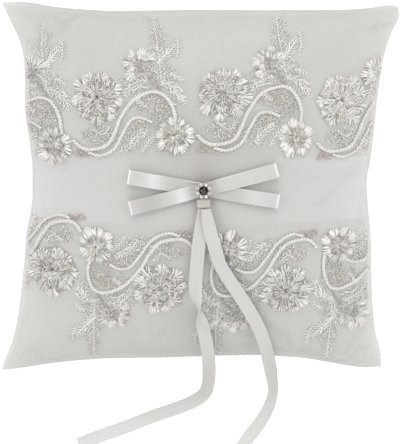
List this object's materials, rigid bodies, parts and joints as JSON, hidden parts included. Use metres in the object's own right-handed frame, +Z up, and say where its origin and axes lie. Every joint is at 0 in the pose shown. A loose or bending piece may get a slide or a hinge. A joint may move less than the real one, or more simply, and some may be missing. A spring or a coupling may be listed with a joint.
{
  "type": "ring bearer pillow",
  "caption": "Square stuffed satin pillow with two lace bands, a flat ribbon bow with a jewelled centre and long ribbon tails that lift to tie the rings.",
  "frame": {"origin": "under the middle of the pillow, on the surface that it lies on", "axes": "+Z up out of the pillow's front, +Y towards its top edge, +X to its right; the ribbon tails fall towards -Y"},
  "size_m": [0.1948, 0.2549, 0.0602],
  "materials": {
    "satin_cover": "matte satin",
    "fibre_filling": "loose polyester fibre",
    "sewing_thread": "matte thread",
    "lace_net": "sheer tulle net",
    "embroidery_thread": "lustrous embroidery thread",
    "satin_ribbon": "satin",
    "silver_metal": "polished",
    "clear_crystal": "cut and polished"
  },
  "bodies": {
    "pillow": {"front_panel": "satin_cover", "back_panel": "satin_cover", "filling": "fibre_filling", "seam_thread": "sewing_thread", "closing_stitches": "sewing_thread", "upper_lace_net": "lace_net", "upper_lace_scroll_cords": "embroidery_thread", "upper_lace_stems": "embroidery_thread", "upper_lace_leaves": "embroidery_thread", "upper_lace_large_flowers": "embroidery_thread", "upper_lace_mid_flowers": "embroidery_thread", "upper_lace_buds": "embroidery_thread", "lower_lace_net": "lace_net", "lower_lace_scroll_cords": "embroidery_thread", "lower_lace_stems": "embroidery_thread", "lower_lace_leaves": "embroidery_thread", "lower_lace_large_flowers": "embroidery_thread", "lower_lace_mid_flowers": "embroidery_thread", "lower_lace_buds": "embroidery_thread", "bow_loop_falling": "satin_ribbon", "bow_loop_rising": "satin_ribbon", "tail_knot": "satin_ribbon", "bow_thread": "sewing_thread", "rosette_setting": "silver_metal", "centre_crystal": "clear_crystal", "ring_beads": "clear_crystal", "left_tail_top": "satin_ribbon", "right_tail_top": "satin_ribbon"},
    "left_tail": {"left_tail": "satin_ribbon"},
    "right_tail": {"right_tail": "satin_ribbon"}
  },
  "joints": [
    {"name": "left_tail_lift", "type": "hinge", "parent": "pillow", "child": "left_tail", "pos_m": [-0.0019, -0.031, 0.0552], "axis": [-1, 0, 0], "range_deg": [0, 100]},
    {"name": "right_tail_lift", "type": "hinge", "parent": "pillow", "child": "right_tail", "pos_m": [0.0077, -0.031, 0.0557], "axis": [-1, 0, 0], "range_deg": [0, 100]}
  ]
}
